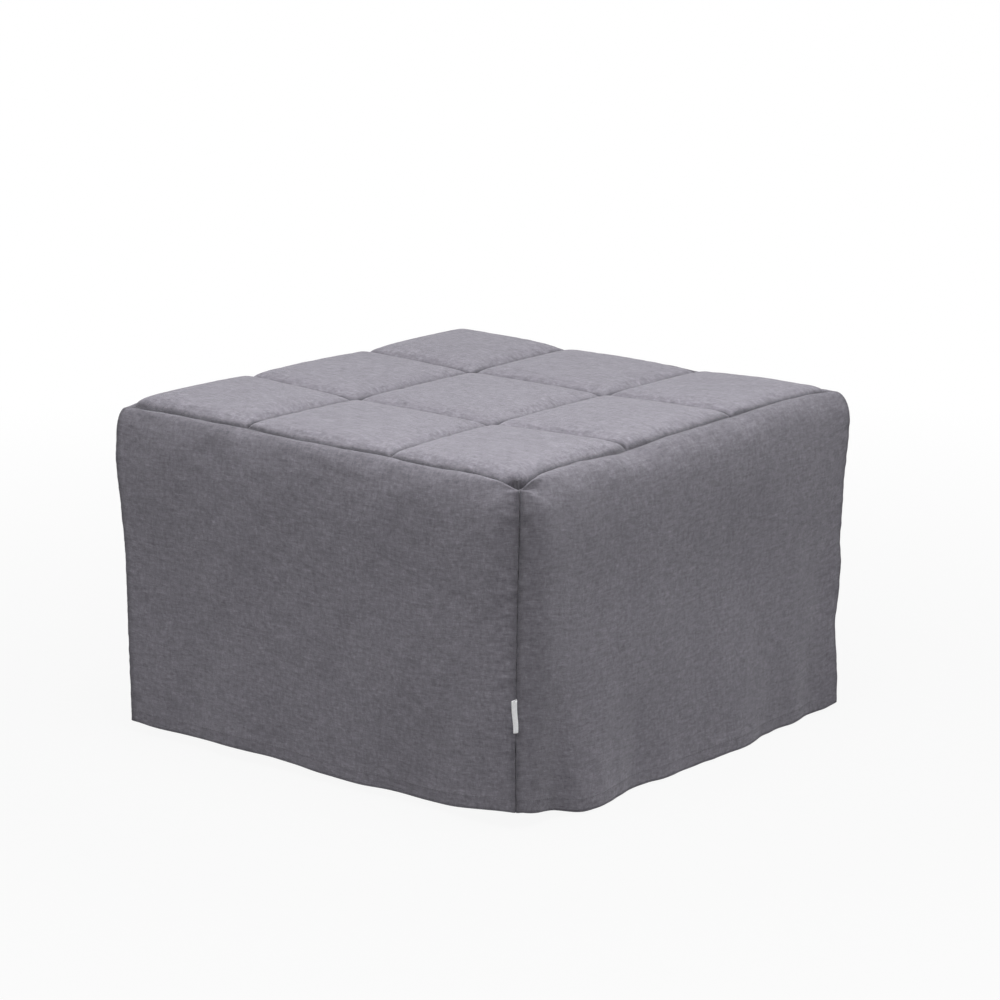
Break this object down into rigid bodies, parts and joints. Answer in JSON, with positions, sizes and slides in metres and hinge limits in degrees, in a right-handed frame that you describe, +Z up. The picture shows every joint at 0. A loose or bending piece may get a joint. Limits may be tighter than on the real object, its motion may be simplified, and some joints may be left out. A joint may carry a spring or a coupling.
{
  "type": "fold out ottoman guest bed",
  "caption": "Square ottoman with a quilted fabric cover; the cover lifts off and three hinged mattress sections fold out into a single guest bed on U legs.",
  "frame": {"origin": "on the floor under the middle of the folded ottoman", "axes": "+Z up; the bed unfolds toward -X; the front faces -Y; +Y is the ottoman's longer side"},
  "size_m": [0.7402, 0.7603, 0.4925],
  "materials": {
    "cover_cloth": "matte",
    "label_cloth": "matte",
    "mattress_cloth": "matte",
    "slat_wood": "satin",
    "black_plastic": "matte",
    "zinc_steel": "satin",
    "plate_steel": "satin",
    "frame_paint": "satin"
  },
  "bodies": {
    "base": {"base_front_rail": "frame_paint", "base_back_rail": "frame_paint", "base_left_tube": "frame_paint", "base_centre_tube": "frame_paint", "base_right_tube": "frame_paint", "base_rail_plugs": "black_plastic", "base_slats": "slat_wood", "base_slat_caps": "black_plastic", "base_mattress": "mattress_cloth", "base_left_leg": "frame_paint", "base_right_leg": "frame_paint", "base_leg_glides": "black_plastic", "base_hinge_plates": "plate_steel", "base_plate_bolts": "zinc_steel", "side_hinge_rivets": "zinc_steel"},
    "middle": {"middle_front_rail": "frame_paint", "middle_back_rail": "frame_paint", "middle_left_tube": "frame_paint", "middle_centre_tube": "frame_paint", "middle_right_tube": "frame_paint", "middle_rail_plugs": "black_plastic", "middle_slats": "slat_wood", "middle_slat_caps": "black_plastic", "middle_mattress": "mattress_cloth", "middle_hinge_plates": "plate_steel", "middle_plate_bolts": "zinc_steel", "middle_hinge_leaves": "plate_steel", "middle_leaf_screws": "zinc_steel", "end_hinge_pins": "zinc_steel", "middle_leg_bolts": "zinc_steel", "middle_leg_nuts": "zinc_steel", "middle_leg_washers": "zinc_steel", "middle_leg_stops": "frame_paint"},
    "middle_legs": {"middle_leg": "frame_paint", "middle_leg_glides": "black_plastic"},
    "head": {"head_front_rail": "frame_paint", "head_back_rail": "frame_paint", "head_left_tube": "frame_paint", "head_centre_tube": "frame_paint", "head_right_tube": "frame_paint", "head_rail_plugs": "black_plastic", "head_slats": "slat_wood", "head_slat_caps": "black_plastic", "head_mattress": "mattress_cloth", "head_hinge_leaves": "plate_steel", "head_leaf_screws": "zinc_steel", "head_leg_bolts": "zinc_steel", "head_leg_nuts": "zinc_steel", "head_leg_washers": "zinc_steel", "head_leg_stops": "frame_paint"},
    "head_legs": {"head_leg": "frame_paint", "head_leg_glides": "black_plastic"},
    "cover": {"cover_top": "cover_cloth", "cover_front_panel": "cover_cloth", "cover_back_panel": "cover_cloth", "cover_left_panel": "cover_cloth", "cover_right_panel": "cover_cloth", "cover_tag": "label_cloth"}
  },
  "joints": [
    {"name": "unfold", "type": "hinge", "parent": "base", "child": "middle", "pos_m": [-0.337, 0, 0.24565], "axis": [0, -1, 0], "range_deg": [0, 180]},
    {"name": "head_fold", "type": "hinge", "parent": "middle", "child": "head", "pos_m": [0.3395, 0, 0.3603], "axis": [0, 1, 0], "range_deg": [0, 180]},
    {"name": "middle_legs_swing", "type": "hinge", "parent": "middle", "child": "middle_legs", "pos_m": [0.246, 0, 0.3473], "axis": [0, 1, 0], "range_deg": [0, 90]},
    {"name": "head_legs_swing", "type": "hinge", "parent": "head", "child": "head_legs", "pos_m": [-0.246, 0, 0.3733], "axis": [0, 1, 0], "range_deg": [0, 90]},
    {"name": "cover_lift", "type": "slide", "parent": "base", "child": "cover", "axis": [0, 0, 1], "range_m": [0, 0.52], "deforming": ["cover_top", "cover_front_panel", "cover_back_panel", "cover_left_panel", "cover_right_panel", "cover_tag"]}
  ],
  "couplings": [
    {"joint": "head_fold", "follows": "unfold", "ratio": 1},
    {"joint": "middle_legs_swing", "follows": "unfold", "ratio": 0.5},
    {"joint": "head_legs_swing", "follows": "unfold", "ratio": 0.5},
    {"joint": "cover_lift", "follows": "unfold", "m_per_rad": 0.1655}
  ]
}
